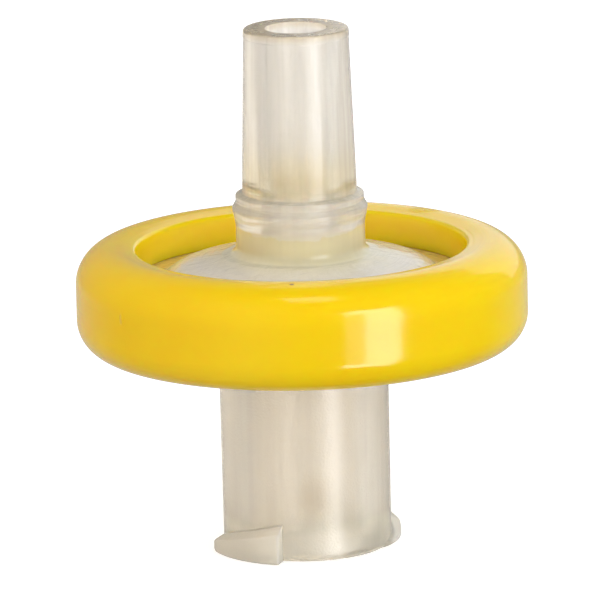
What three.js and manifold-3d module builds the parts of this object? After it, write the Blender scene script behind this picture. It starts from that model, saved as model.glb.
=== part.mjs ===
// A 13 mm syringe filter: two translucent polypropylene mouldings clamp a round membrane,
// and a yellow polypropylene ring moulded round their rims holds the stack together.
// Millimetres, +Z up along the flow axis. The origin is the centre of the inlet mouth.
// A syringe locks on below, at z = 0, and the filtered liquid leaves through the tip above.

import * as THREE from "three";
import { mergeVertices } from "three/addons/utils/BufferGeometryUtils.js";
import Module from "manifold-3d";

// Membrane and the clamped stack
const membraneDiameter = 13;
const membraneThickness = 0.2;
const clampWidth = 1.4; // how far the clamping faces reach in from the membrane's edge
const inletFlangeThickness = 0.65;
const outletFlangeThickness = 0.6;
const chamberDepth = 0.35; // free height above and below the membrane
const fitGap = 0.05; // radial clearance between nested pieces

// Rims that nest round the membrane
const footWidth = 0.4; // outlet rim, outside the membrane
const lipWidth = 0.45; // inlet rim, outside the outlet rim

// Overmoulded ring
const ringWall = 1.25; // outside the inlet lip
const ringGrip = 0.55; // how far the ring reaches in over the outlet rim
const ringUpperLip = 1.41;
const ringLowerLip = 1.28;
const upperEdgeRadius = 1.45;
const lowerEdgeRadius = 1.3;
const recessEdgeRadius = 0.15;
const crownFall = 0.11; // from the ring's crest in to the edge of its upper recess

// Inlet: female luer lock
const inletTubeLength = 7.85; // from the mouth to the underside of the ring
const inletTubeTaper = 0.007; // on the diameter, narrower towards the mouth
const luerTaper = 0.06; // on the diameter, for both luer cones
const mouthDiameter = 4.3;
const mouthWall = 1.11;
const mouthRounding = 0.2;
const mouthChamfer = 0.08;
const inletPortDiameter = 1.6;
const inletPortLength = 1.33; // from the chamber floor down to the socket

// Lugs of the luer lock, a right-hand double-start thread
const lugCount = 2;
const lugProjection = 0.59; // beyond the tube's surface
const lugHeight = 1.52; // at the tube's surface, at the step face
const lugLead = 5; // rise in one whole turn
const lugFlankAngle = 27; // degrees below level, outwards
const lugStepAngle = 253; // degrees round from +X
const lugSpan = 95; // degrees
const lugRunIn = 42; // degrees over which the lug grows out of the tube
const lugStartHeight = 0.25; // at the thin end, from where the flank rises to its thread line
const lugEdge = 0.08;
const lugRoot = 0.27; // how far the lug is sunk in the tube wall

// Outlet: hub, collar and male luer slip
const hubHeight = 2.01; // from the top of the ring to the root of the tip
const hubStep = 0.28; // how far the hub stands out from the root of the tip
const collarProjection = 0.11; // beyond the hub
const collarWidth = 0.13;
const collarFlare = 0.52; // height over which the hub widens to the collar
const collarShoulder = 0.23; // height over which the collar narrows to the band
const bandInset = 0.02; // inside the hub's surface
const bandHeight = 0.25;
const bandChamfer = 0.09;
const tipLength = 6.42;
const tipDiameter = 4.06;
const tipRounding = 0.1;
const tipBoreDiameter = 2.34;
const tipBoreTaper = 0.04;
const outletPortDiameter = 1.4;
const outletPortLength = 1.0;

// Cover plates of both mouldings, between hub and rim
const plateSlope = 0.23; // rise per unit of radius, towards the axis
const plateShoulderRadius = 2.0;
const plateGutter = 0.9; // flat band between the plate's shoulder and the recess wall
const plateShoulderSteepest = 50; // degrees from level, where the shoulder meets the band
const hubFillet = 0.35;
const tubeFillet = 0.3;

// Membrane support
const innermostRibRadius = 1.75;
const supportRibPitch = 1.2;
const supportRibWidth = 0.3;
const drainCount = 6;
const drainWidth = 0.5;
const spreaderCount = 8;
const spreaderWidth = 0.4;
const spreaderHeight = 0.2;
const spreaderSink = 0.1;
const spreaderInset = 0.4; // free space at both ends of a spreader rib

const segments = 48; // round each turned piece

// Radii from the axis out
const membraneRadius = membraneDiameter / 2;
const chamberRadius = membraneRadius - clampWidth;
const footInner = membraneRadius + fitGap;
const footOuter = footInner + footWidth;
const lipInner = footOuter + fitGap;
const lipOuter = lipInner + lipWidth;
const grooveRadius = lipOuter + fitGap;
const ringRadius = grooveRadius + ringWall;
const recessRadius = footOuter - ringGrip;
const plateRadius = recessRadius - plateGutter;
const mouthRadius = mouthDiameter / 2 + mouthWall;
const tubeRadius = mouthRadius + (inletTubeLength * inletTubeTaper) / 2;
const lugRadius = mouthRadius + lugProjection;
const tipRadius = tipDiameter / 2;
const tipRootRadius = tipRadius + (tipLength * luerTaper) / 2;
const hubRadius = tipRootRadius + hubStep;

// Levels from the mouth up
const ringBottom = inletTubeLength;
const inletFlangeBottom = ringBottom + ringLowerLip;
const seatLevel = inletFlangeBottom + inletFlangeThickness;
const membraneTop = seatLevel + membraneThickness;
const outletFlangeTop = membraneTop + outletFlangeThickness;
const ringTop = outletFlangeTop + ringUpperLip;
const tipRoot = ringTop + hubHeight;
const tipEnd = tipRoot + tipLength;
const chamberFloor = seatLevel - chamberDepth;
const chamberCeiling = membraneTop + chamberDepth;
const socketFloor = chamberFloor - inletPortLength;

const wasm = await Module();
wasm.setup();

const radians = THREE.MathUtils.degToRad;

// A geometry as a solid that can be joined and cut.
function toSolid(geometry) {
  const bare = geometry.clone();
  bare.deleteAttribute("normal");
  bare.deleteAttribute("uv");
  const merged = mergeVertices(bare);
  return new wasm.Manifold(
    new wasm.Mesh({
      numProp: 3,
      vertProperties: merged.attributes.position.array,
      triVerts: new Uint32Array(merged.index.array),
    }),
  );
}

function toGeometry(solid) {
  const mesh = solid.getMesh();
  const geometry = new THREE.BufferGeometry();
  geometry.setAttribute("position", new THREE.BufferAttribute(mesh.vertProperties, 3));
  geometry.setIndex(new THREE.BufferAttribute(mesh.triVerts, 1));
  geometry.computeVertexNormals();
  return geometry;
}

// Points on an arc in the (radius, height) plane, both ends included.
function arc(centreRadius, centreHeight, radius, fromAngle, toAngle, steps) {
  const points = [];
  for (let i = 0; i <= steps; i++) {
    const angle = radians(fromAngle + ((toAngle - fromAngle) * i) / steps);
    points.push([centreRadius + radius * Math.cos(angle), centreHeight + radius * Math.sin(angle)]);
  }
  return points;
}

// A closed outline of [radius, height] points, listed clockwise, turned about the axis.
function turned(outline) {
  const points = outline.map(([radius, height]) => new THREE.Vector2(radius, height)).reverse();
  points.push(points[0].clone());
  const geometry = new THREE.LatheGeometry(points, segments);
  geometry.rotateX(Math.PI / 2);
  return geometry;
}

// The outside of a cover plate, from its neck at the hub or tube out to the flange.
// side is 1 for the outlet's plate, which rises to the hub, and -1 for the inlet's.
function plateOutline(neckRadius, neckFillet, flangeLevel, side) {
  const slopeAngle = THREE.MathUtils.radToDeg(Math.atan(plateSlope));
  const endAngle = 90 - plateShoulderSteepest;
  const startAngle = 90 - slopeAngle;
  const filletRadius = neckRadius + neckFillet;
  const reach = Math.cos(radians(endAngle)) - Math.cos(radians(startAngle));
  const bend = Math.min(plateShoulderRadius, (plateRadius - filletRadius) / reach);
  const centreRadius = plateRadius - bend * Math.cos(radians(endAngle));
  const centreRise = -bend * Math.sin(radians(endAngle));
  const shoulder = arc(centreRadius, centreRise, bend, startAngle, endAngle, 5);
  const [crestRadius, crestRise] = shoulder[0];
  const filletRise = crestRise + (crestRadius - filletRadius) * plateSlope;
  const fillet = arc(filletRadius, filletRise + neckFillet, neckFillet, 180, 270 - slopeAngle, 3);
  return [...fillet, ...shoulder].map(([radius, rise]) => [radius, flangeLevel + side * rise]);
}

function tipOutline() {
  return [
    [tipBoreDiameter / 2, tipEnd],
    ...arc(tipRadius - tipRounding, tipEnd - tipRounding, tipRounding, 90, 0, 3),
    [tipRootRadius, tipRoot],
  ];
}

function collarOutline() {
  const bandTop = tipRoot - bandChamfer;
  const bandBottom = bandTop - bandHeight;
  const collarTop = bandBottom - collarShoulder;
  const collarBottom = collarTop - collarWidth;
  return [
    [hubRadius - bandInset, bandTop],
    [hubRadius - bandInset, bandBottom],
    [hubRadius + collarProjection, collarTop],
    [hubRadius + collarProjection, collarBottom],
    [hubRadius, collarBottom - collarFlare],
  ];
}

// The ceiling of the outlet chamber, with round ribs whose crests lie on the membrane.
function supportOutline() {
  const points = [];
  const room = chamberRadius - supportRibWidth - innermostRibRadius;
  for (let i = Math.floor(room / supportRibPitch); i >= 0; i--) {
    const ribRadius = innermostRibRadius + i * supportRibPitch;
    const outer = ribRadius + supportRibWidth / 2;
    const inner = ribRadius - supportRibWidth / 2;
    points.push([outer, chamberCeiling], [outer, membraneTop]);
    points.push([inner, membraneTop], [inner, chamberCeiling]);
  }
  return points;
}

function outletBoreOutline() {
  const portTop = chamberCeiling + outletPortLength;
  const boreBottomRadius = (tipBoreDiameter - (tipEnd - portTop) * tipBoreTaper) / 2;
  return [
    [outletPortDiameter / 2, chamberCeiling],
    [outletPortDiameter / 2, portTop],
    [boreBottomRadius, portTop],
  ];
}

// Radial channels that let the liquid cross the support ribs.
function drainCutters() {
  const cutters = [];
  const length = chamberRadius - innermostRibRadius + supportRibWidth;
  for (let i = 0; i < drainCount; i++) {
    const cutter = new THREE.BoxGeometry(length, drainWidth, chamberDepth * 2);
    cutter.translate(chamberRadius - length / 2 - fitGap, 0, membraneTop);
    cutter.rotateZ((i * 2 * Math.PI) / drainCount);
    cutters.push(cutter);
  }
  return cutters;
}

function outletHousing() {
  const outline = [
    ...tipOutline(),
    ...collarOutline(),
    ...plateOutline(hubRadius, hubFillet, outletFlangeTop, 1),
    [footOuter, outletFlangeTop],
    [footOuter, seatLevel],
    [footInner, seatLevel],
    [footInner, membraneTop],
    [chamberRadius, membraneTop],
    [chamberRadius, chamberCeiling],
    ...supportOutline(),
    ...outletBoreOutline(),
  ];
  let solid = toSolid(turned(outline));
  for (const cutter of drainCutters()) solid = solid.subtract(toSolid(cutter));
  return toGeometry(solid);
}

// The tapered socket, from the mouth's rim up to the port.
function socketOutline() {
  const boreRadius = mouthDiameter / 2;
  return [
    [boreRadius + mouthChamfer, 0],
    [boreRadius, mouthChamfer],
    [boreRadius - (socketFloor * luerTaper) / 2, socketFloor],
    [inletPortDiameter / 2, socketFloor],
    [inletPortDiameter / 2, chamberFloor],
  ];
}

// One section of a lug, as [radius, height] points, at an angle back from its step face.
function lugSection(angleBack) {
  const root = mouthRadius - lugRoot;
  const grown = Math.min(1, (lugSpan - angleBack) / lugRunIn);
  const start = mouthRadius - lugEdge / 4;
  const outer = start + (lugRadius - start) * grown;
  const fall = Math.tan(radians(lugFlankAngle));
  const threadHeight = lugHeight - (lugLead * angleBack) / 360;
  const innerHeight = THREE.MathUtils.lerp(lugStartHeight, threadHeight, grown);
  const flankAt = (radius) => innerHeight - (radius - mouthRadius) * fall;
  return [
    [root, 0],
    [outer - lugEdge, 0],
    [outer, lugEdge],
    [outer, flankAt(outer) - lugEdge / 2],
    [outer - lugEdge, flankAt(outer - lugEdge)],
    [root, flankAt(root)],
  ];
}

// A closed body through a row of sections, each an anticlockwise loop of as many points.
function lofted(sections) {
  const around = sections[0].length;
  const index = [];
  for (let s = 0; s + 1 < sections.length; s++) {
    for (let i = 0; i < around; i++) {
      const a = s * around + i;
      const b = s * around + ((i + 1) % around);
      index.push(a, a + around, b, b, a + around, b + around);
    }
  }
  const last = (sections.length - 1) * around;
  for (let i = 1; i + 1 < around; i++) {
    index.push(0, i, i + 1, last, last + i + 1, last + i);
  }
  const geometry = new THREE.BufferGeometry().setFromPoints(sections.flat());
  geometry.setIndex(index);
  return geometry;
}

function lug(turn) {
  const steps = 12;
  const sections = [];
  for (let i = 0; i <= steps; i++) {
    const angleBack = lugSpan * (1 - i / steps);
    const angle = radians(lugStepAngle - angleBack) + turn;
    const place = ([radius, height]) =>
      new THREE.Vector3(radius * Math.cos(angle), radius * Math.sin(angle), height);
    sections.push(lugSection(angleBack).map(place));
  }
  return lofted(sections);
}

// Low radial ribs on the inlet chamber's floor, clear of the membrane.
function spreaderRibs() {
  const ribs = [];
  const inner = inletPortDiameter / 2 + spreaderInset;
  const outer = chamberRadius - spreaderInset;
  for (let i = 0; i < spreaderCount; i++) {
    const rib = new THREE.BoxGeometry(outer - inner, spreaderWidth, spreaderHeight + spreaderSink);
    rib.translate((inner + outer) / 2, 0, chamberFloor + (spreaderHeight - spreaderSink) / 2);
    rib.rotateZ(((i + 0.5) * 2 * Math.PI) / spreaderCount);
    ribs.push(rib);
  }
  return ribs;
}

function inletHousing() {
  const outline = [
    [chamberRadius, seatLevel],
    [lipInner, seatLevel],
    [lipInner, outletFlangeTop],
    [lipOuter, outletFlangeTop],
    [lipOuter, inletFlangeBottom],
    ...plateOutline(tubeRadius, tubeFillet, inletFlangeBottom, -1).reverse(),
    ...arc(mouthRadius - mouthRounding, mouthRounding, mouthRounding, 0, -90, 3),
    ...socketOutline(),
    [chamberRadius, chamberFloor],
  ];
  let solid = toSolid(turned(outline));
  for (const rib of spreaderRibs()) solid = solid.add(toSolid(rib));
  for (let i = 0; i < lugCount; i++) solid = solid.add(toSolid(lug((i * 2 * Math.PI) / lugCount)));
  return toGeometry(solid);
}

function filterMembrane() {
  return turned([
    [membraneRadius, seatLevel],
    [0, seatLevel],
    [0, membraneTop],
    [membraneRadius, membraneTop],
  ]);
}

// The ring's outer edges are round, its top falls a little towards the recess, and it grips both
// rims in a groove.
function overmouldRing() {
  const wall = ringRadius - recessRadius;
  const upper = Math.min(upperEdgeRadius, wall - 2 * recessEdgeRadius);
  const lower = Math.min(lowerEdgeRadius, wall - 2 * recessEdgeRadius);
  const inner = recessRadius + recessEdgeRadius;
  const innerTop = ringTop - crownFall - recessEdgeRadius;
  const slope = (Math.atan(crownFall / (ringRadius - upper - inner)) * 180) / Math.PI;
  return turned([
    ...arc(inner, innerTop, recessEdgeRadius, 180, 90 + slope, 4),
    ...arc(ringRadius - upper, ringTop - upper, upper, 90, 0, 6),
    ...arc(ringRadius - lower, ringBottom + lower, lower, 0, -90, 6),
    ...arc(inner, ringBottom + recessEdgeRadius, recessEdgeRadius, 270, 180, 4),
    [recessRadius, inletFlangeBottom],
    [grooveRadius, inletFlangeBottom],
    [grooveRadius, outletFlangeTop],
    [recessRadius, outletFlangeTop],
  ]);
}

const naturalPolypropylene = { color: 0xe2d8c6, roughness: 0.35, metalness: 0 };
const yellowPolypropylene = { color: 0xf2cc1b, roughness: 0.25, metalness: 0 };
const membraneWhite = { color: 0xf4f2ec, roughness: 0.9, metalness: 0 };

function piece(name, geometry, finish) {
  const mesh = new THREE.Mesh(geometry, new THREE.MeshStandardMaterial(finish));
  mesh.name = name;
  return mesh;
}

const group = new THREE.Group();
group.add(piece("inlet_housing", inletHousing(), naturalPolypropylene));
group.add(piece("filter_membrane", filterMembrane(), membraneWhite));
group.add(piece("outlet_housing", outletHousing(), naturalPolypropylene));
group.add(piece("overmould_ring", overmouldRing(), yellowPolypropylene));

export default group;
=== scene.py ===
# Syringe filter, standing on its inlet: two mouldings in natural polypropylene clamp a 13 mm
# membrane, and a yellow polypropylene ring moulded round their rims holds the stack together.
# Lengths in the dictionaries are millimetres, and angles are degrees.
import math

import bpy
from mathutils import Matrix, Vector


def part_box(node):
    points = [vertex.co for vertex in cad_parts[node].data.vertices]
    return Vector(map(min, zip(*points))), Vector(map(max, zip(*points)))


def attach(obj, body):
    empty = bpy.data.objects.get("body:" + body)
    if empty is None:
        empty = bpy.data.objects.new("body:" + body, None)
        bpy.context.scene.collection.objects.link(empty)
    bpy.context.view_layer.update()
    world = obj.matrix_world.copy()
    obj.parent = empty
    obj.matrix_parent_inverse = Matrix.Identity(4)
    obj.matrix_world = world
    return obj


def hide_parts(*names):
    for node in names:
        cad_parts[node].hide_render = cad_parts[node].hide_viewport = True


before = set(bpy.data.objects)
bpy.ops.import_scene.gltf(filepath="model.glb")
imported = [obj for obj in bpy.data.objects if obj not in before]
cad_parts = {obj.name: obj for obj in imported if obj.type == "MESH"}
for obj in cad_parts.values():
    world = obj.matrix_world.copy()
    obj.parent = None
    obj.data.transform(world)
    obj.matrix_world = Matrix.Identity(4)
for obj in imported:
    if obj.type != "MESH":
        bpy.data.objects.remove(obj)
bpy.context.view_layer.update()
mm = 0.001
turnSteps = 256  # round each turned surface
seam = 0.01  # air between pieces that touch in the real filter
print("frame loaded")


# The CAD pieces give the levels and radii that everything here is built to.
def extent(node):
    low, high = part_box(node)
    return {"radius": high.x / mm, "bottom": low.z / mm, "top": high.z / mm}


inletCad = extent("inlet_housing")
outletCad = extent("outlet_housing")
ringCad = extent("overmould_ring")
membraneCad = extent("filter_membrane")


def arc(centre, radius, start, end, steps):
    points = []
    for i in range(steps + 1):
        angle = math.radians(start + (end - start) * i / steps)
        points.append((centre[0] + radius * math.cos(angle), centre[1] + radius * math.sin(angle)))
    return points


# Corners are (radius, height) or (radius, height, rounding), and each rounding becomes an arc.
def roundCorners(corners, step=12):
    outline = []
    for i, corner in enumerate(corners):
        point = Vector(corner[:2])
        if len(corner) < 3:
            outline.append(point)
            continue
        before = (Vector(corners[i - 1][:2]) - point).normalized()
        after = (Vector(corners[(i + 1) % len(corners)][:2]) - point).normalized()
        half = before.angle(after) / 2
        setBack = corner[2] / math.tan(half)
        centre = point + (before + after).normalized() * corner[2] / math.sin(half)
        start = point + before * setBack - centre
        turn = start.angle_signed(point + after * setBack - centre)
        steps = max(2, round(abs(math.degrees(turn)) / step))
        for k in range(steps + 1):
            outline.append(centre + Matrix.Rotation(-turn * k / steps, 2) @ start)
    return outline


def newPiece(name, points, faces, material):
    mesh = bpy.data.meshes.new(name)
    mesh.from_pydata([Vector(p) * mm for p in points], [], faces)
    mesh.materials.append(material)
    mesh.shade_smooth()
    piece = bpy.data.objects.new(name, mesh)
    bpy.context.scene.collection.objects.link(piece)
    return piece


# Two loops close to the ends of each long straight run keep its shading true up to the rounding.
def holdRuns(outline, hold=0.04):
    held = []
    for i, point in enumerate(outline):
        start, end = Vector(point), Vector(outline[(i + 1) % len(outline)])
        run = (end - start).length
        held.append(start)
        if run > 4 * hold:
            held += [start.lerp(end, hold / run), end.lerp(start, hold / run)]
    return held


# A closed outline, listed clockwise in (radius, height), turned about the axis.
def turned(name, outline, material):
    outline = holdRuns(outline)
    count = len(outline)
    points = []
    for i in range(turnSteps):
        angle = 2 * math.pi * i / turnSteps
        points += [(r * math.cos(angle), r * math.sin(angle), z) for r, z in outline]
    faces = []
    for i in range(turnSteps):
        here, there = i * count, (i + 1) % turnSteps * count
        for k in range(count):
            after = (k + 1) % count
            faces.append((here + k, here + after, there + after, there + k))
    return newPiece(name, points, faces, material)


# A closed body through a row of loops, each running anticlockwise seen from the row's end.
def lofted(name, loops, material):
    around = len(loops[0])
    faces = [tuple(range(around))[::-1]]
    for s in range(len(loops) - 1):
        for i in range(around):
            a, b = s * around + i, s * around + (i + 1) % around
            faces.append((a, b, b + around, a + around))
    faces.append(tuple(range((len(loops) - 1) * around, len(loops) * around)))
    return newPiece(name, [p for loop in loops for p in loop], faces, material)


def combine(piece, other, operation):
    modifier = piece.modifiers.new(operation, "BOOLEAN")
    modifier.operation = operation
    modifier.solver = "EXACT"
    modifier.object = other
    dependencies = bpy.context.evaluated_depsgraph_get()
    mesh = bpy.data.meshes.new_from_object(piece.evaluated_get(dependencies))
    piece.modifiers.clear()
    piece.data = mesh
    bpy.data.objects.remove(other)


# Edges that turn by more than the angle stay sharp.
def sharpen(piece, angle=35):
    piece.data.shade_smooth()
    piece.data.set_sharp_from_angle(angle=math.radians(angle))


def fromHex(text):
    channels = [int(text[i : i + 2], 16) / 255 for i in (0, 2, 4)]
    linear = [c / 12.92 if c <= 0.04045 else ((c + 0.055) / 1.055) ** 2.4 for c in channels]
    return (*linear, 1)


# Settings go to the node's sockets, by name or number, or else to its properties.
def addNode(tree, kind, settings=None, links=None):
    node = tree.nodes.new(kind)
    for name, value in (settings or {}).items():
        if isinstance(name, int) or name in node.inputs:
            node.inputs[name].default_value = value
        else:
            setattr(node, name, value)
    for name, source in (links or {}).items():
        tree.links.new(source, node.inputs[name])
    return node


def newMaterial(name):
    material = bpy.data.materials.new(name)
    material.use_nodes = True
    material.node_tree.nodes.clear()
    return material, material.node_tree


smooth = {"interpolation_type": "SMOOTHSTEP"}
markDrift = 0.12  # how fast turned marks change on their way round


# The settings that map one range of values to another. With unit=mm the first is millimetres.
def mapped(start, end, low=0.0, high=1.0, unit=1):
    return {"From Min": start * unit, "From Max": end * unit, "To Min": low, "To Max": high}


# Where a point is: its place, height and radius, and a space in which noise runs round the axis.
def turnedSpace(tree):
    where = addNode(tree, "ShaderNodeTexCoord").outputs["Object"]
    axes = addNode(tree, "ShaderNodeSeparateXYZ", links={"Vector": where}).outputs
    flat = addNode(tree, "ShaderNodeCombineXYZ", links={"X": axes["X"], "Y": axes["Y"]})
    radius = addNode(tree, "ShaderNodeVectorMath", {"operation": "LENGTH"}, {0: flat.outputs[0]})
    drift = addNode(  # without it every mark would be a perfect circle
        tree, "ShaderNodeMath", {"operation": "MULTIPLY", 1: markDrift}, {0: axes["X"]}
    )
    around = addNode(
        tree,
        "ShaderNodeCombineXYZ",
        links={"X": radius.outputs["Value"], "Y": drift.outputs[0], "Z": axes["Z"]},
    )
    return {
        "place": where,
        "sideways": axes["X"],
        "height": axes["Z"],
        "flat": flat.outputs[0],
        "radius": radius.outputs["Value"],
        "around": around.outputs[0],
    }


# 1 at the middle of an ellipsoid, or up to its core, and smoothly 0 at its surface.
def patch(tree, where, place, size, core=0.0):
    space = addNode(
        tree,
        "ShaderNodeVectorMath",
        {
            "operation": "MULTIPLY_ADD",
            1: [1 / (s * mm) for s in size],
            2: [-p / s for p, s in zip(place, size)],
        },
        {0: where},
    )
    reach = addNode(tree, "ShaderNodeVectorMath", {"operation": "LENGTH"}, {0: space.outputs[0]})
    edge = addNode(
        tree,
        "ShaderNodeMapRange",
        {**mapped(core, 1.0, 1.0, 0.0), **smooth},
        {"Value": reach.outputs["Value"]},
    )
    return edge.outputs[0]


# Adds up the patterns, each times its depth, and gives the normal of that relief.
def relief(tree, heights):
    total = None
    for pattern, depth in heights:
        links = {0: pattern}
        if total:
            links[2] = total.outputs[0]
        total = addNode(
            tree,
            "ShaderNodeMath",
            {"operation": "MULTIPLY_ADD", 1: depth * mm, 2: 0.0},
            links,
        )
    bump = addNode(
        tree,
        "ShaderNodeBump",
        {"Strength": 1.0, "Distance": 1.0},
        {"Height": total.outputs[0]},
    )
    return bump.outputs["Normal"]


naturalFinish = {
    # from the mouth up: height, colour, and how much of the light passes straight through
    "body": [
        # the mouth band and the tube are painted warmer than the tip, and the band darker: painted
        # shade and yellow reflection from around the foot
        (0.9, "FCF6EC", 0.74),
        (1.6, "FFFAF2", 0.82),
        (8.4, "FFFAF2", 0.82),
        (9.2, "FCF5E6", 0.1),
        (10.9, "FCF5E6", 0.1),
        (11.6, "FEFCF6", 0.38),
        (13.6, "FEFDFA", 0.62),
        (14.4, "F9F1DF", 0.8),
        (16.4, "FEFDFA", 0.82),
        (20.1, "FEFDFA", 0.82),
        # the tan at the top rim is painted shade, darkening its top face
        (20.35, "F2E7D2", 0.82),
    ],
    "lugClarity": 0.42,
    "tint": "F9EFCC",  # of the light that has passed through
    "tintDensity": 98,
    "scatter": 0.4,  # how far light runs in the milkiness
    "scatterTint": (1.0, 0.97, 0.92),
    "refraction": 1.49,
    "gloss": 0.95,  # 0.5 would be polypropylene's own, and the windows are weaker to match
    # heights, and then radii, between which each region begins
    "tipStart": (8.0, 9.0),
    "plateStart": (8.2, 8.8),
    "collarStart": (12.7, 13.0),
    "collarEnd": (14.0, 14.5),
    "lugEnd": (1.3, 2.2),
    "plateInner": (2.6, 3.1),
    "lugInner": (3.3, 3.45),
    "rimInner": (5.3, 5.9),
    # painted glow: the ring's yellow light, as if seen through the rim and through the foot of the
    # hub, is painted into the colour
    "paintedRingGlow": "F2D98A",
    "hubFoot": "FCF4DA",
    "hubFootStart": (11.3, 11.7),
    "hubFootTop": 12.43,  # at the weld line, and higher away from it
    "hubFootSlope": 0.14,
    "hubFootWave": 0.6,
    "hubFootEdge": 0.04,
    # on the tube, and on the tip
    "roughness": (0.15, 0.09),
    "drawStrength": (0.25, 1.0),
    "speckStrength": (4.0, 1.0),
    "streakClarity": (0.985, 0.94),  # what the haziest draw marks leave
    "boreLimit": (2.6, 1.5),  # surfaces nearer to the axis are the bore's
    "boreRoughness": 0.2,
    "flowRoughness": 0.06,  # extra, along the flow marks
    # spacing, detail and distortion of the marks that the mould leaves
    "marks": {
        "draw": (0.45, 2, 0.0),
        "tool": (0.35, 4, 0.0),
        "speck": (0.09, 1, 0.0),  # the finer ones are left out
        "flow": (0.9, 3, 0.8),
    },
    "radialMarks": 10,  # per unit of bearing
    "drawStretch": 0.03,  # draw marks are this much finer across than along
    "streakSpan": (0.4, 0.6),
    "drawDepth": 0.02,
    "collarDepth": 0.12,
    "toolDepth": 0.05,
    "flowDepth": 0.06,
    "radialDepth": 0.02,
    "speckDepth": 0.003,
    "tipToolMarks": 0.08,  # how much of the collar's marks goes on up the tip
    # a dull, greyer patch on the front of the tube: place, size along each axis, colour
    "greyPatch": ((0.3, -3.27, 2.6), (0.95, 0.8, 1.3), "E9E2D6"),
}


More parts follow.
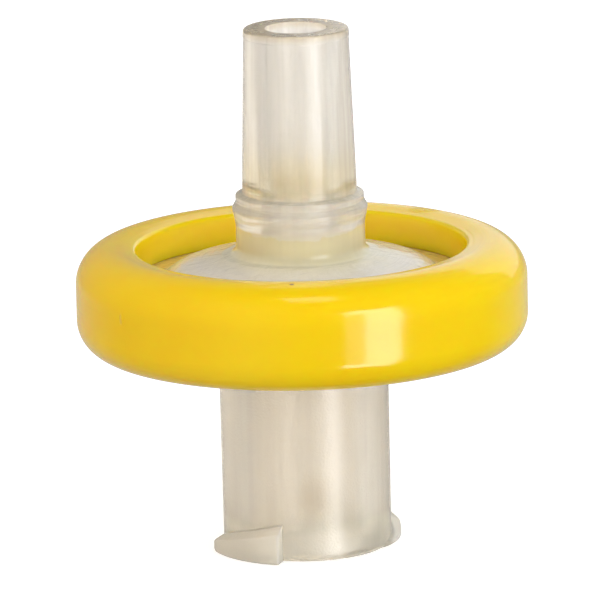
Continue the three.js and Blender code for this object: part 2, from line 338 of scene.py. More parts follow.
# Milky, faintly yellow and see-through, glossy outside, with the marks of the mould.
def naturalPolypropylene():
    material, tree = newMaterial("moulded natural polypropylene")
    at = turnedSpace(tree)

    # draw marks run along the axis and tool marks round it
    lengthwise = addNode(
        tree,
        "ShaderNodeVectorMath",
        {"operation": "MULTIPLY", 1: (1, 1, naturalFinish["drawStretch"])},
        {0: at["place"]},
    )
    spaces = {
        "draw": lengthwise.outputs[0],
        "tool": at["around"],
        "speck": at["place"],
        "flow": at["place"],
    }
    marks = {}
    for name, (spacing, detail, distortion) in naturalFinish["marks"].items():
        marks[name] = addNode(
            tree,
            "ShaderNodeTexNoise",
            {"Scale": 1 / (spacing * mm), "Detail": detail, "Distortion": distortion},
            {"Vector": spaces[name]},
        ).outputs["Fac"]
    bearing = addNode(tree, "ShaderNodeVectorMath", {"operation": "NORMALIZE"}, {0: at["flat"]})
    marks["radial"] = addNode(
        tree,
        "ShaderNodeTexNoise",
        {"Scale": naturalFinish["radialMarks"], "Detail": 3.0},
        {"Vector": bearing.outputs[0]},
    ).outputs["Fac"]

    # what differs between the tube and the tip
    graded = {}
    for name in ("roughness", "drawStrength", "speckStrength", "streakClarity"):
        graded[name] = addNode(
            tree,
            "ShaderNodeMapRange",
            mapped(*naturalFinish["tipStart"], *naturalFinish[name], unit=mm),
            {"Value": at["height"]},
        ).outputs[0]

    # regions, each 1 inside: the collar, the cover plates, the lugs and the rim near the ring
    regions = {}
    for name, start, value, links in (
        ("aboveHub", "collarStart", "height", {}),
        ("collar", "collarEnd", "height", {"To Min": "aboveHub"}),
        ("offAxis", "plateInner", "radius", {}),
        ("plates", "plateStart", "height", {"To Max": "offAxis"}),
        ("offTube", "lugInner", "radius", {}),
        ("lugs", "lugEnd", "height", {"To Min": "offTube"}),
        ("rim", "rimInner", "radius", {}),
    ):
        high = {"collar": naturalFinish["tipToolMarks"], "lugs": 0.0}.get(name, 1.0)
        regions[name] = addNode(
            tree,
            "ShaderNodeMapRange",
            {**mapped(*naturalFinish[start], high=high, unit=mm), **smooth},
            {"Value": at[value], **{socket: regions[region] for socket, region in links.items()}},
        ).outputs[0]

    heights = []
    for name, strength, depth in (
        ("draw", graded["drawStrength"], "drawDepth"),
        ("tool", regions["collar"], "collarDepth"),
        ("tool", regions["plates"], "toolDepth"),
        ("flow", regions["plates"], "flowDepth"),
        ("radial", regions["plates"], "radialDepth"),
        ("speck", graded["speckStrength"], "speckDepth"),
    ):
        zoned = addNode(
            tree, "ShaderNodeMath", {"operation": "MULTIPLY"}, {0: marks[name], 1: strength}
        )
        heights.append((zoned.outputs[0], naturalFinish[depth]))

    # colour and clarity by height
    level = addNode(
        tree,
        "ShaderNodeMapRange",
        {"From Max": outletCad["top"] * mm},
        {"Value": at["height"]},
    )
    body = addNode(tree, "ShaderNodeValToRGB", links={"Fac": level.outputs[0]})
    ramp = body.color_ramp
    ramp.interpolation = "EASE"
    while len(ramp.elements) < len(naturalFinish["body"]):
        ramp.elements.new(1)
    for element, (height, colour, clarity) in zip(ramp.elements, naturalFinish["body"]):
        element.position = height / outletCad["top"]
        element.color = (*fromHex(colour)[:3], clarity)
    clear = addNode(
        tree,
        "ShaderNodeMapRange",
        {"To Max": naturalFinish["lugClarity"]},
        {"Value": regions["lugs"], "To Min": body.outputs["Alpha"]},
    )
    streak = addNode(
        tree,
        "ShaderNodeMapRange",
        mapped(*naturalFinish["streakSpan"], low=1.0),
        {"Value": marks["draw"], "To Max": graded["streakClarity"]},
    )
    streaked = addNode(
        tree,
        "ShaderNodeMath",
        {"operation": "MULTIPLY"},
        {0: clear.outputs[0], 1: streak.outputs[0]},
    )

    # the painted ring glow on the hub's foot ends in an edge that slopes up from the weld line and
    # waves a little
    sideways = addNode(
        tree, "ShaderNodeMath", {"operation": "ABSOLUTE"}, {0: at["sideways"]}
    )
    sloped = addNode(
        tree,
        "ShaderNodeMath",
        {"operation": "MULTIPLY_ADD", 1: -naturalFinish["hubFootSlope"]},
        {0: sideways.outputs[0], 2: at["height"]},
    )
    wavy = addNode(
        tree,
        "ShaderNodeMath",
        {"operation": "MULTIPLY_ADD", 1: naturalFinish["hubFootWave"] * mm},
        {0: marks["flow"], 2: sloped.outputs[0]},
    )
    footTop = naturalFinish["hubFootTop"] + naturalFinish["hubFootWave"] / 2
    footEdge = naturalFinish["hubFootEdge"]
    belowEdge = addNode(
        tree,
        "ShaderNodeMapRange",
        mapped(footTop - footEdge, footTop + footEdge, 1.0, 0.0, unit=mm),
        {"Value": wavy.outputs[0]},
    )
    paintedFootGlow = addNode(
        tree,
        "ShaderNodeMapRange",
        mapped(*naturalFinish["hubFootStart"], unit=mm),
        {"Value": at["height"], "To Max": belowEdge.outputs[0]},
    )
    place, size, dull = naturalFinish["greyPatch"]
    colour = body.outputs["Color"]
    # painted yellow glow of the ring on the rim and on the hub's foot, then a greyer patch on the
    # tube
    for share, paint in (
        (regions["rim"], naturalFinish["paintedRingGlow"]),
        (paintedFootGlow.outputs[0], naturalFinish["hubFoot"]),
        (patch(tree, at["place"], place, size), dull),
    ):
        colour = addNode(
            tree,
            "ShaderNodeMix",
            {"data_type": "RGBA", 7: fromHex(paint)},
            {0: share, 6: colour},
        ).outputs[2]

    # the bore isn't as glossy as the outside, and the tube isn't as glossy as the tip
    limits = [limit * mm for limit in naturalFinish["boreLimit"]]
    wall = addNode(
        tree,
        "ShaderNodeMapRange",
        mapped(*naturalFinish["tipStart"], *limits, unit=mm),
        {"Value": at["height"]},
    )
    inside = addNode(
        tree, "ShaderNodeMath", {"operation": "LESS_THAN"}, {0: at["radius"], 1: wall.outputs[0]}
    )
    polish = addNode(
        tree,
        "ShaderNodeMapRange",
        {"To Max": naturalFinish["boreRoughness"]},
        {"Value": inside.outputs[0], "To Min": graded["roughness"]},
    )
    worn = addNode(
        tree,
        "ShaderNodeMath",
        {"operation": "MULTIPLY_ADD", 1: naturalFinish["flowRoughness"]},
        {0: marks["flow"], 2: polish.outputs[0]},
    )
    shader = addNode(
        tree,
        "ShaderNodeBsdfPrincipled",
        {
            "IOR": naturalFinish["refraction"],
            "Specular IOR Level": naturalFinish["gloss"],
            "Subsurface Weight": 1.0,
            "Subsurface Radius": naturalFinish["scatterTint"],
            "Subsurface Scale": naturalFinish["scatter"] * mm,
        },
        {
            "Base Color": colour,
            "Transmission Weight": streaked.outputs[0],
            "Roughness": worn.outputs[0],
            "Normal": relief(tree, heights),
        },
    )
    path = addNode(tree, "ShaderNodeLightPath")
    letThrough = addNode(tree, "ShaderNodeBsdfTransparent", {"Color": (1, 1, 1, 1)})
    both = addNode(  # the lamps shine through it, so the bores and the far walls are lit
        tree,
        "ShaderNodeMixShader",
        links={
            0: path.outputs["Is Shadow Ray"],
            1: shader.outputs["BSDF"],
            2: letThrough.outputs["BSDF"],
        },
    )
    depth = addNode(
        tree,
        "ShaderNodeVolumeAbsorption",
        {"Color": fromHex(naturalFinish["tint"]), "Density": naturalFinish["tintDensity"]},
    )
    addNode(
        tree,
        "ShaderNodeOutputMaterial",
        links={"Surface": both.outputs["Shader"], "Volume": depth.outputs["Volume"]},
    )
    return material


yellowFinish = {
    "colour": "F7D816",
    "thinner": "F4D014",  # where there is less pigment
    "thinnerSpan": (0.4, 0.75),
    "thinnerShare": 0.6,
    "scatter": 1.0,
    "scatterTint": (1.0, 0.7, 0.1),  # blue is absorbed almost at once
    "refraction": 1.49,
    "gloss": 0.78,
    "roughness": (0.1, 0.16),
    "roughnessSpan": (0.3, 0.7),
    "scuffSpan": (0.56, 0.66),
    "scuffRoughness": 0.06,  # extra, along the deepest tool marks
    # spacing, detail and distortion of the patterns
    "marks": {
        "tool": (0.16, 2, 0.0),
        "peel": (1.5, 2, 0.0),
        "pigment": (4.0, 3, 0.5),
        "scratch": (0.16, 2, 1.5),
    },
    "toolDepth": 0.006,
    "peelDepth": 0.008,
    # a pip that the mould left: place, size along each axis, height
    "pip": ((-6.9, -5.38, 10.3), (0.14, 0.14, 0.3), 0.06),
    # where the gate was cut off: place, size along each axis, depth of the scratches
    "gate": ((5.3, 5.5, 11.9), (1.1, 0.7, 0.5), 0.06),
    "gateCore": 0.5,
    # a dark speck in the resin: place, radius, colour
    "speck": ((-0.38, -7.5, 11.97), 0.11, "8E6A22"),
}


# Opaque, glossy and warm, with light that runs a little way in, and faint turned tool marks.
def yellowPolypropylene():
    material, tree = newMaterial("moulded yellow polypropylene")
    at = turnedSpace(tree)
    marks = {}
    for name, (spacing, detail, distortion) in yellowFinish["marks"].items():
        marks[name] = addNode(
            tree,
            "ShaderNodeTexNoise",
            {"Scale": 1 / (spacing * mm), "Detail": detail, "Distortion": distortion},
            {"Vector": at["around" if name == "tool" else "place"]},
        ).outputs["Fac"]
    place, size, rise = yellowFinish["pip"]
    pip = patch(tree, at["place"], place, size)
    place, size, cut = yellowFinish["gate"]
    gate = patch(tree, at["place"], place, size, yellowFinish["gateCore"])
    torn = addNode(
        tree, "ShaderNodeMath", {"operation": "MULTIPLY"}, {0: gate, 1: marks["scratch"]}
    )
    heights = [
        (pip, rise),
        (torn.outputs[0], cut),
        (marks["tool"], yellowFinish["toolDepth"]),
        (marks["peel"], yellowFinish["peelDepth"]),
    ]
    cloudy = addNode(
        tree,
        "ShaderNodeMapRange",
        mapped(*yellowFinish["thinnerSpan"], high=yellowFinish["thinnerShare"]),
        {"Value": marks["pigment"]},
    )
    colour = addNode(
        tree,
        "ShaderNodeMix",
        {
            "data_type": "RGBA",
            6: fromHex(yellowFinish["colour"]),
            7: fromHex(yellowFinish["thinner"]),
        },
        {0: cloudy.outputs[0]},
    )
    place, size, dark = yellowFinish["speck"]
    reach = addNode(
        tree,
        "ShaderNodeVectorMath",
        {"operation": "DISTANCE", 1: [p * mm for p in place]},
        {0: at["place"]},
    )
    speck = addNode(
        tree,
        "ShaderNodeMapRange",
        mapped(size / 2, size, 1.0, 0.0, unit=mm),
        {"Value": reach.outputs["Value"]},
    )
    specked = addNode(
        tree,
        "ShaderNodeMix",
        {"data_type": "RGBA", 7: fromHex(dark)},
        {0: speck.outputs[0], 6: colour.outputs[2]},
    )
    worn = addNode(
        tree,
        "ShaderNodeMapRange",
        mapped(*yellowFinish["roughnessSpan"], *yellowFinish["roughness"]),
        {"Value": marks["peel"]},
    )
    scuffs = addNode(
        tree,
        "ShaderNodeMapRange",
        mapped(*yellowFinish["scuffSpan"]),
        {"Value": marks["tool"]},
    )
    scuffed = addNode(
        tree,
        "ShaderNodeMath",
        {"operation": "MULTIPLY_ADD", 1: yellowFinish["scuffRoughness"]},
        {0: scuffs.outputs[0], 2: worn.outputs[0]},
    )
    shader = addNode(
        tree,
        "ShaderNodeBsdfPrincipled",
        {
            "IOR": yellowFinish["refraction"],
            "Specular IOR Level": yellowFinish["gloss"],
            "Subsurface Weight": 1.0,
            "Subsurface Radius": yellowFinish["scatterTint"],
            "Subsurface Scale": yellowFinish["scatter"] * mm,
        },
        {
            "Base Color": specked.outputs[2],
            "Roughness": scuffed.outputs[0],
            "Normal": relief(tree, heights),
        },
    )
    addNode(tree, "ShaderNodeOutputMaterial", links={"Surface": shader.outputs["BSDF"]})
    return material


membraneFinish = {
    "colour": "FBF0D2",
    "dense": "F2E4BE",
    # spacing and detail of the patterns
    "marks": {
        "pore": (0.06, 2),  # the real pores are below a micrometre, so they are drawn coarser
        "cloud": (2.5, 3),
    },
    "poreDepth": 0.006,
    "roughness": (0.8, 1.0),
}


# Dull, off-white and paper-like.
def castMembrane():
    material, tree = newMaterial("cast porous membrane")
    where = addNode(tree, "ShaderNodeTexCoord").outputs["Object"]
    marks = {}
    for name, (spacing, detail) in membraneFinish["marks"].items():
        marks[name] = addNode(
            tree,
            "ShaderNodeTexNoise",
            {"Scale": 1 / (spacing * mm), "Detail": detail},
            {"Vector": where},
        ).outputs["Fac"]
    colour = addNode(
        tree,
        "ShaderNodeMix",
        {
            "data_type": "RGBA",
            6: fromHex(membraneFinish["colour"]),
            7: fromHex(membraneFinish["dense"]),
        },
        {0: marks["cloud"]},
    )
    matt = addNode(
        tree,
        "ShaderNodeMapRange",
        mapped(0.0, 1.0, *membraneFinish["roughness"]),
        {"Value": marks["pore"]},
    )
    shader = addNode(
        tree,
        "ShaderNodeBsdfPrincipled",
        links={
            "Base Color": colour.outputs[2],
            "Roughness": matt.outputs[0],
            "Normal": relief(tree, [(marks["pore"], membraneFinish["poreDepth"])]),
        },
    )
    addNode(tree, "ShaderNodeOutputMaterial", links={"Surface": shader.outputs["BSDF"]})
    return material


natural = naturalPolypropylene()
yellow = yellowPolypropylene()
porous = castMembrane()
print("materials made")

# the cover plate of each housing
plate = {
    "slope": 0.23,  # rise per unit of radius, towards the axis
    "shoulder": 2.0,
    "steepest": 50,  # where the shoulder meets the flat band
    "radius": 5.5,
}


# From the neck at the hub or tube out to the flange. side is 1 where the plate rises.
def plateOutline(neckRadius, fillet, level, side):
    slope = math.degrees(math.atan(plate["slope"]))
    endAngle, startAngle = 90 - plate["steepest"], 90 - slope
    bend = plate["shoulder"]
    centre = (
        plate["radius"] - bend * math.cos(math.radians(endAngle)),
        -bend * math.sin(math.radians(endAngle)),
    )
    shoulder = arc(centre, bend, startAngle, endAngle, 16)
    rise = shoulder[0][1] + (shoulder[0][0] - neckRadius - fillet) * plate["slope"]
    neck = arc((neckRadius + fillet, rise + fillet), fillet, 180, 270 - slope, 8)
    return [(r, level + side * z) for r, z in neck + shoulder]


ring = {
    "recess": 6.4,
    "groove": 7.5,
    "upperEdge": 1.45,
    "lowerEdge": 1.3,
    "recessEdge": 0.15,
    "grooveEdge": 0.05,
    "crownSlope": 9.77,  # of the top, down towards the recess
}


def overmouldRing():
    radius, top, bottom = ringCad["radius"], ringCad["top"], ringCad["bottom"]
    upper, lower, inner = ring["upperEdge"], ring["lowerEdge"], ring["recessEdge"]
    floor, ceiling = grip["bottom"] - seam, grip["top"] + seam
    edge = ring["grooveEdge"]
    slope = math.radians(ring["crownSlope"])
    width = radius - upper - ring["recess"] - inner
    drop = (upper - inner) * (1 - math.cos(slope)) + (
        width - (upper - inner) * math.sin(slope)
    ) * math.tan(slope)
    outline = [
        *arc((ring["recess"] + inner, top - inner - drop), inner, 180, 90 + ring["crownSlope"], 8),
        *arc((radius - upper, top - upper), upper, 90 + ring["crownSlope"], 0, 24),
        *arc((radius - lower, bottom + lower), lower, 0, -90, 24),
        *arc((ring["recess"] + inner, bottom + inner), inner, 270, 180, 8),
        (ring["recess"], floor, edge),
        (ring["groove"], floor, edge),
        (ring["groove"], ceiling, edge),
        (ring["recess"], ceiling, edge),
    ]
    return turned("overmouldRing", roundCorners(outline), yellow)


inlet = {
    "flange": 0.65,
    "chamberRadius": 5.1,
    "chamberDepth": 0.35,
    "lipInner": 7.0,
    "lipOuter": 7.45,
    "tubeRadius": 3.2875,
    "tubeFillet": 0.3,
    "mouthRadius": 3.26,
    "mouthRounding": 0.2,
    "mouthChamfer": 0.08,
    "chamferEdge": 0.02,
    "socketRadius": 2.15,
    "socketTaper": 0.06,  # on the diameter
    "socketEnd": 0.15,
    "portRadius": 0.8,
    "portLength": 1.33,
    "edge": 0.04,  # rounding that the mould leaves on small edges
    "spreaders": 8,
    "spreaderWidth": 0.4,
    "spreaderHeight": 0.2,
    "spreaderInset": 0.4,
    "spreaderRoot": 0.1,  # how far a spreader reaches into the plate
}
lug = {
    "count": 2,
    "projection": 0.59,
    "height": 1.52,
    "lead": 5,  # rise of the thread in a full turn
    "flank": 27,
    "stepAngle": 253,  # bearing of the first lug's step face
    "span": 95,  # from there back to the thin end
    "runIn": 42,  # how much of the span the thin end takes to grow
    "startHeight": 0.25,
    "edge": 0.1,
    "edgeShare": 0.3,  # of the lug's size, where it is too thin for its full edge
    "root": 0.27,
    "bite": 0.02,  # the thin end starts this far inside the tube
    "steps": 72,
    "edgeSteps": 5,
}
grip = {
    "bottom": membraneCad["bottom"] - inlet["flange"],
    "top": inletCad["top"],
}


def lugLoop(angleBack, inset):
    mouth = inlet["mouthRadius"]
    grown = min(1, (lug["span"] - angleBack) / lug["runIn"])
    outer = mouth - lug["bite"] + (lug["projection"] + lug["bite"]) * grown - inset
    thread = lug["height"] - lug["lead"] * angleBack / 360
    height = lug["startHeight"] + (thread - lug["startHeight"]) * grown - inset
    fall = math.tan(math.radians(lug["flank"]))
    root = mouth - lug["root"]
    low = inletCad["bottom"] + inset
    flankTop = low + height - (outer - mouth) * fall
    rounding = min(lug["edge"], min(outer - root, flankTop - low) * lug["edgeShare"])
    corners = [
        (root, low),
        (outer, low, rounding),
        (outer, flankTop, rounding),
        (root, low + height + lug["root"] * fall),
    ]
    return roundCorners(corners, 15)


def inletLug(turn):
    steps, edgeSteps = lug["steps"], lug["edgeSteps"]
    loops = []
    stations = [(lug["span"] * (1 - i / steps), 0) for i in range(steps)]
    for k in range(1, edgeSteps + 1):  # the step face, with its edge rounded
        bend = math.radians(90 * k / edgeSteps)
        back = lug["edge"] * (1 - math.sin(bend)) / inlet["mouthRadius"]
        stations.append((math.degrees(back), lug["edge"] * (1 - math.cos(bend))))
    for angleBack, inset in stations:
        angle = math.radians(lug["stepAngle"] - angleBack + turn)
        loop = lugLoop(angleBack, inset)
        loops.append([(r * math.cos(angle), r * math.sin(angle), z) for r, z in loop])
    return lofted("inletLug", loops, natural)


# A closed box that starts at one radius and ends at another.
def radialBar(name, inner, outer, width, bottom, top, turn):
    loops = []
    for z in (bottom, top):
        corners = [(inner, -width / 2), (outer, -width / 2), (outer, width / 2), (inner, width / 2)]
        cos, sin = math.cos(math.radians(turn)), math.sin(math.radians(turn))
        loops.append([(x * cos - y * sin, x * sin + y * cos, z) for x, y in corners])
    return lofted(name, loops, natural)


def inletHousing():
    seat = membraneCad["bottom"] - seam
    floor = seat - inlet["chamberDepth"]
    socketTop = floor - inlet["portLength"]
    edge = inlet["edge"]
    neck = plateOutline(inlet["tubeRadius"], inlet["tubeFillet"], grip["bottom"], -1)
    mouth = inlet["mouthRounding"]
    socket = inlet["socketRadius"]
    corners = [
        (inlet["chamberRadius"], seat, edge),
        (inlet["lipInner"], seat, edge),
        (inlet["lipInner"], grip["top"], edge),
        (inlet["lipOuter"], grip["top"], edge),
        (inlet["lipOuter"], grip["bottom"], edge),
        *neck[::-1],
        *arc((inlet["mouthRadius"] - mouth, mouth), mouth, 0, -90, 8),
        (socket + inlet["mouthChamfer"], 0, inlet["chamferEdge"]),
        (socket, inlet["mouthChamfer"], inlet["chamferEdge"]),
        (socket - socketTop * inlet["socketTaper"] / 2, socketTop, inlet["socketEnd"]),
        (inlet["portRadius"], socketTop, edge),
        (inlet["portRadius"], floor, edge),
        (inlet["chamberRadius"], floor, edge),
    ]
    piece = turned("inletHousing", roundCorners(corners), natural)
    for i in range(lug["count"]):
        combine(piece, inletLug(i * 360 / lug["count"]), "UNION")
    start = inlet["portRadius"] + inlet["spreaderInset"]
    end = inlet["chamberRadius"] - inlet["spreaderInset"]
    low, crest = floor - inlet["spreaderRoot"], floor + inlet["spreaderHeight"]
    for i in range(inlet["spreaders"]):
        turn, width = (i + 0.5) * 360 / inlet["spreaders"], inlet["spreaderWidth"]
        bar = radialBar("spreaderRib", start, end, width, low, crest, turn)
        combine(piece, bar, "UNION")
    return piece


outlet = {
    "footInner": 6.55,  # the rim that clamps the membrane
    "footOuter": 6.95,
    "hubRadius": 2.5026,
    "hubFillet": 0.35,
    "collarProjection": 0.11,
    "collarWidth": 0.13,
    "collarFlare": 0.52,
    "flareRounding": 1.0,
    "collarShoulder": 0.23,
    "bandInset": 0.02,  # the step between the collar and the tip
    "bandHeight": 0.25,
    "bandChamfer": 0.09,
    "tipLength": 6.42,
    "tipRadius": 2.03,
    "tipRootRadius": 2.2226,
    "tipRounding": 0.1,
    "boreRadius": 1.17,
    "boreTaper": 0.04,  # on the diameter
    "portRadius": 0.7,
    "portLength": 1.0,
    "chamberRadius": 5.1,
    "chamberDepth": 0.35,
    "ribFirst": 1.75,
    "ribPitch": 1.2,
    "ribWidth": 0.3,
    "drains": 6,
    "drainWidth": 0.5,
    "drainInset": 0.05,
    "drainOver": 0.1,  # how far the cutter reaches past the crests of the ribs
    "drainGap": 0.001,  # and how far it stays off the ceiling
    "edge": 0.04,
    "boreEdge": 0.05,
    "boreEnd": 0.15,
    "rootEdge": 0.03,
    "tipLine": 0.3,  # from the top down to the line that the mould's insert leaves
    "tipLineHeight": 0.03,
    "tipLineEdge": 0.01,
    "tipStep": 0.02,
}


def outletHousing():
    edge = outlet["edge"]
    top = outletCad["top"]
    root = top - outlet["tipLength"]
    bandTop = root - outlet["bandChamfer"]
    bandBottom = bandTop - outlet["bandHeight"]
    collarTop = bandBottom - outlet["collarShoulder"]
    collarBottom = collarTop - outlet["collarWidth"]
    hub = outlet["hubRadius"]
    collar = hub + outlet["collarProjection"]
    membraneTop = membraneCad["top"] + seam
    ceiling = membraneTop + outlet["chamberDepth"]
    portTop = ceiling + outlet["portLength"]
    boreBottom = outlet["boreRadius"] - (top - portTop) * outlet["boreTaper"] / 2
    ribs = []
    for i in (2, 1, 0):
        middle = outlet["ribFirst"] + i * outlet["ribPitch"]
        outer, inner = middle + outlet["ribWidth"] / 2, middle - outlet["ribWidth"] / 2
        ribs += [(outer, ceiling, edge), (outer, membraneTop, edge)]
        ribs += [(inner, membraneTop, edge), (inner, ceiling, edge)]
    tip, step = outlet["tipRadius"], outlet["tipStep"]
    line, lineEdge = top - outlet["tipLine"], outlet["tipLineEdge"]
    corners = [
        (outlet["boreRadius"], top, outlet["boreEdge"]),
        (tip, top, outlet["tipRounding"]),
        (tip + step, line, lineEdge),
        (tip + step / 4, line - outlet["tipLineHeight"], lineEdge),
        (outlet["tipRootRadius"], root, outlet["rootEdge"]),
        (hub - outlet["bandInset"], bandTop, edge),
        (hub - outlet["bandInset"], bandBottom, edge),
        (collar, collarTop, edge),
        (collar, collarBottom, edge),
        (hub, collarBottom - outlet["collarFlare"], outlet["flareRounding"]),
        *plateOutline(hub, outlet["hubFillet"], grip["top"], 1),
        (outlet["footOuter"], grip["top"], edge),
        (outlet["footOuter"], membraneCad["bottom"], edge),
        (outlet["footInner"], membraneCad["bottom"], edge),
        (outlet["footInner"], membraneTop, edge),
        (outlet["chamberRadius"], membraneTop, edge),
        (outlet["chamberRadius"], ceiling, edge),
        *ribs,
        (outlet["portRadius"], ceiling, edge),
        (outlet["portRadius"], portTop, edge),
        (boreBottom, portTop, outlet["boreEnd"]),
    ]
    piece = turned("outletHousing", roundCorners(corners), natural)
    start = outlet["ribFirst"] - outlet["ribWidth"]
    end = outlet["chamberRadius"] - outlet["drainInset"]
    low, high = membraneTop - outlet["drainOver"], ceiling - outlet["drainGap"]
    for i in range(outlet["drains"]):
        turn, width = i * 360 / outlet["drains"], outlet["drainWidth"]
        bar = radialBar("drain", start, end, width, low, high, turn)
        combine(piece, bar, "DIFFERENCE")
    return piece


membrane = {
    "edge": 0.03,
    "centre": 0.01,  # a turned outline stays this far from the axis
}


def filterMembrane():
    radius, bottom, top = membraneCad["radius"], membraneCad["bottom"], membraneCad["top"]
    edge, centre = membrane["edge"], membrane["centre"]
    outline = [(radius, bottom, edge), (centre, bottom), (centre, top), (radius, top, edge)]
    return turned("filterMembrane", roundCorners(outline), porous)


for make, node, finish in (
    (inletHousing, "inlet_housing", "natural_polypropylene"),
    (outletHousing, "outlet_housing", "natural_polypropylene"),
    (overmouldRing, "overmould_ring", "yellow_polypropylene"),
    (filterMembrane, "filter_membrane", "membrane"),
):
    piece = make()
    sharpen(piece)
    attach(piece, "root")
    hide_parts(node)
    print(piece.name, len(piece.data.polygons), "faces")

studio = {
    "floorSize": 600,
    "floorGap": 0.02,  # keeps the floor off the mouth, which is drawn from below too
    "floorGrey": 0.65,
    "floorGlow": 0.68,  # on top of its own lighting, so that it shows as white
    "floorGlowThrough": (0.22, 0.44),  # painted glow, seen only through the plastic: dimmer on the left, brighter on the right
    "floorTurn": (-0.2, 0.5),  # bearings between which the one goes over into the other
    # radiance by direction: a span of the direction, and what it goes from and to
    "wall": (-0.16, -0.06, 0.52, 0.33),  # the wall behind the filter, by height
    "wallSpan": (0.3, 0.9),  # how far back the room goes over into that wall
    "roomRight": 0.05,
    "roomLeft": 0.2,
    "roomSpan": (-0.45, 0.05),
    "overhead": (0.75, 0.95, 1.0, 0.4),
    "through": 0.92,  # the least that is seen through the plastic
    "ambient": (0.3, 0.9, 1.38, 0.42),  # what lights the object, by height
    "warm": (1.06, 0.88, 0.74),  # its colour at the left
    "warmSpan": (-0.8, 0.8),
}


def studioFloor():
    half = studio["floorSize"] / 2
    level = -studio["floorGap"]
    points = [(x * half, y * half, level) for x, y in ((-1, -1), (1, -1), (1, 1), (-1, 1))]
    material, tree = newMaterial("white paper sweep")
    path = addNode(tree, "ShaderNodeLightPath")
    grey = studio["floorGrey"]
    diffuse = addNode(tree, "ShaderNodeBsdfDiffuse", {"Color": (grey, grey, grey, 1)})
    where = addNode(tree, "ShaderNodeTexCoord")
    bearing = addNode(
        tree, "ShaderNodeVectorMath", {"operation": "NORMALIZE"}, {0: where.outputs["Object"]}
    )
    across = addNode(tree, "ShaderNodeSeparateXYZ", links={"Vector": bearing.outputs[0]})
    beyond = addNode(
        tree,
        "ShaderNodeMapRange",
        mapped(*studio["floorTurn"], *studio["floorGlowThrough"]),
        {"Value": across.outputs["X"]},
    )
    faint = addNode(
        tree,
        "ShaderNodeMath",
        {"operation": "MULTIPLY"},
        {0: path.outputs["Is Transmission Ray"], 1: beyond.outputs[0]},
    )
    seen = addNode(
        tree,
        "ShaderNodeMath",
        {"operation": "MULTIPLY_ADD", 1: studio["floorGlow"]},
        {0: path.outputs["Is Camera Ray"], 2: faint.outputs[0]},
    )
    glow = addNode(tree, "ShaderNodeEmission", links={"Strength": seen.outputs[0]})
    paper = addNode(tree, "ShaderNodeAddShader", links={0: diffuse.outputs[0], 1: glow.outputs[0]})
    side = addNode(tree, "ShaderNodeNewGeometry")
    nothing = addNode(tree, "ShaderNodeBsdfTransparent")
    both = addNode(  # the underside of the filter can be seen from below
        tree,
        "ShaderNodeMixShader",
        links={0: side.outputs["Backfacing"], 1: paper.outputs[0], 2: nothing.outputs[0]},
    )
    addNode(tree, "ShaderNodeOutputMaterial", links={"Surface": both.outputs[0]})
    floor = newPiece("studioFloor", points, [(0, 1, 2, 3)], material)
    floor.visible_glossy = False
    floor.visible_shadow = False


# White to the camera. To everything else it is a dim room with a pale wall at the back.
def studioWorld():
    world = bpy.data.worlds.new("studio")
    bpy.context.scene.world = world
    world.use_nodes = True
    tree = world.node_tree
    tree.nodes.clear()
    path = addNode(tree, "ShaderNodeLightPath").outputs
    where = addNode(tree, "ShaderNodeTexCoord")
    axes = addNode(tree, "ShaderNodeSeparateXYZ", links={"Vector": where.outputs["Generated"]})
    x, y, z = axes.outputs
    wall = addNode(tree, "ShaderNodeMapRange", mapped(*studio["wall"]), {"Value": z})
    right, left = (
        addNode(
            tree,
            "ShaderNodeMapRange",
            mapped(*studio["wallSpan"], low=studio[part]),
            {"Value": y, "To Max": wall.outputs[0]},
        )
        for part in ("roomRight", "roomLeft")
    )
    room = addNode(
        tree,
        "ShaderNodeMapRange",
        mapped(*studio["roomSpan"]),
        {"Value": x, "To Min": left.outputs[0], "To Max": right.outputs[0]},
    )
    overhead = addNode(tree, "ShaderNodeMapRange", mapped(*studio["overhead"]), {"Value": z})
    ceiling = addNode(
        tree,
        "ShaderNodeMath",
        {"operation": "MULTIPLY"},
        {0: room.outputs[0], 1: overhead.outputs[0]},
    )
    through = addNode(
        tree, "ShaderNodeMapRange", {"To Min": studio["through"]}, {"Value": ceiling.outputs[0]}
    )
    ambient = addNode(tree, "ShaderNodeMapRange", mapped(*studio["ambient"]), {"Value": z})
    level = ceiling
    for ray, seen in (("Is Transmission Ray", through), ("Is Diffuse Ray", ambient)):
        level = addNode(
            tree,
            "ShaderNodeMapRange",
            links={"Value": path[ray], "To Min": level.outputs[0], "To Max": seen.outputs[0]},
        )
    level = addNode(
        tree,
        "ShaderNodeMapRange",
        {"To Max": 1.0},
        {"Value": path["Is Camera Ray"], "To Min": level.outputs[0]},
    )
    side = addNode(
        tree,
        "ShaderNodeMapRange",
        mapped(*studio["warmSpan"], 1.0, 0.0),
        {"Value": x},
    )
    warm = addNode(
        tree,
        "ShaderNodeMath",
        {"operation": "MULTIPLY"},
        {0: path["Is Diffuse Ray"], 1: side.outputs[0]},
    )
    colour = addNode(
        tree,
        "ShaderNodeMix",
        {"data_type": "RGBA", 6: (1, 1, 1, 1), 7: (*studio["warm"], 1)},
        {0: warm.outputs[0]},
    )
    background = addNode(
        tree,
        "ShaderNodeBackground",
        links={"Color": colour.outputs[2], "Strength": level.outputs[0]},
    )
    addNode(tree, "ShaderNodeOutputWorld", links={"Surface": background.outputs[0]})


view = {
    "aim": 9.927,  # height on the axis that the camera and the lamps face
    "elevation": 12.689,
    "distance": 331,
    "lens": 512.5,
    "sensor": 36,
    "roll": -1.375,
    "shift": (-0.0033, -0.01105),
    "clip": (10, 10000),
}
aim = Vector((0, 0, view["aim"] * mm))


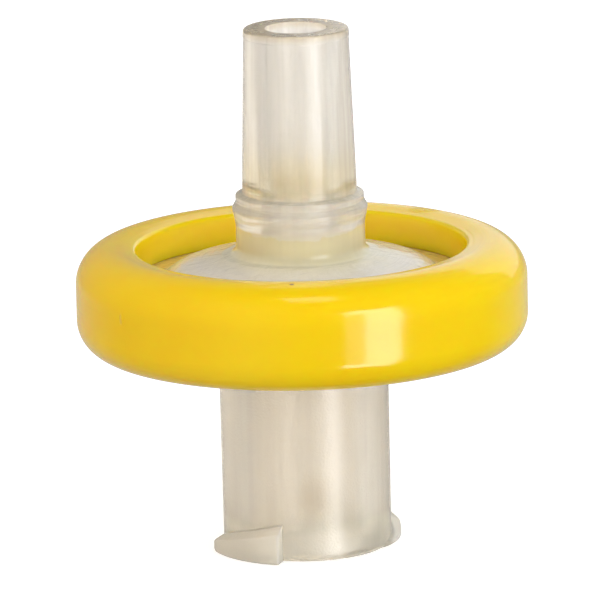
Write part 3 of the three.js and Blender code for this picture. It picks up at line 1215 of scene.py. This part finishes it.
# A rectangular lamp that faces the filter. Azimuth runs from the camera's side to the right, and
# width and height are angles as seen from the filter.
def softbox(name, azimuth, elevation, distance, width, height, radiance, shine=True, glow=True):
    lamp = bpy.data.lights.new(name, "AREA")
    lamp.shape = "RECTANGLE"
    lamp.size = 2 * distance * mm * math.tan(math.radians(width / 2))
    lamp.size_y = 2 * distance * mm * math.tan(math.radians(height / 2))
    lamp.energy = radiance * math.pi * lamp.size * lamp.size_y
    holder = bpy.data.objects.new(name, lamp)
    holder.visible_glossy = shine
    holder.visible_diffuse = glow
    holder.visible_transmission = shine
    a, e = math.radians(azimuth), math.radians(elevation)
    away = Vector((math.sin(a) * math.cos(e), -math.cos(a) * math.cos(e), math.sin(e)))
    holder.location = aim + away * distance * mm
    holder.rotation_euler = away.to_track_quat("Z", "Y").to_euler()
    bpy.context.scene.collection.objects.link(holder)


def studioCamera():
    data = bpy.data.cameras.new("camera")
    data.lens = view["lens"]
    data.sensor_width = view["sensor"]
    data.shift_x, data.shift_y = view["shift"]
    data.clip_start, data.clip_end = (clip * mm for clip in view["clip"])
    camera = bpy.data.objects.new("camera", data)
    tilt = math.radians(view["elevation"])
    back = Vector((0, -math.cos(tilt), math.sin(tilt)))
    camera.location = aim + back * view["distance"] * mm
    roll = Matrix.Rotation(math.radians(view["roll"]), 4, "Z")
    camera.rotation_euler = (back.to_track_quat("Z", "Y").to_matrix().to_4x4() @ roll).to_euler()
    bpy.context.scene.collection.objects.link(camera)
    bpy.context.scene.camera = camera


studioFloor()
studioWorld()
# the windows and the card only show as reflections, and the two lights only light the object
windows = {"distance": 400, "glow": False}
softbox("windowRight", 41, -2, width=19, height=62, radiance=4.0, **windows)
softbox("windowUpper", 26.5, 24, width=10, height=9, radiance=3.6, **windows)
softbox("windowMiddle", 26.5, -2, width=10, height=44, radiance=1.05, **windows)
softbox("windowLower", 26.5, -28, width=10, height=10, radiance=4.0, **windows)
softbox("windowTop", 9, 75, width=16, height=16, radiance=1.4, **windows)
softbox("keyLight", 40, 15, 400, 30, 40, radiance=2.05, shine=False)
softbox("topLight", 10, 60, 400, 40, 40, radiance=0.5, shine=False)
softbox("cardBehind", 153, 22, 67, 50, 36, radiance=0.65, glow=False)
studioCamera()
bpy.context.scene.view_settings.view_transform = "Standard"
print("stage set")
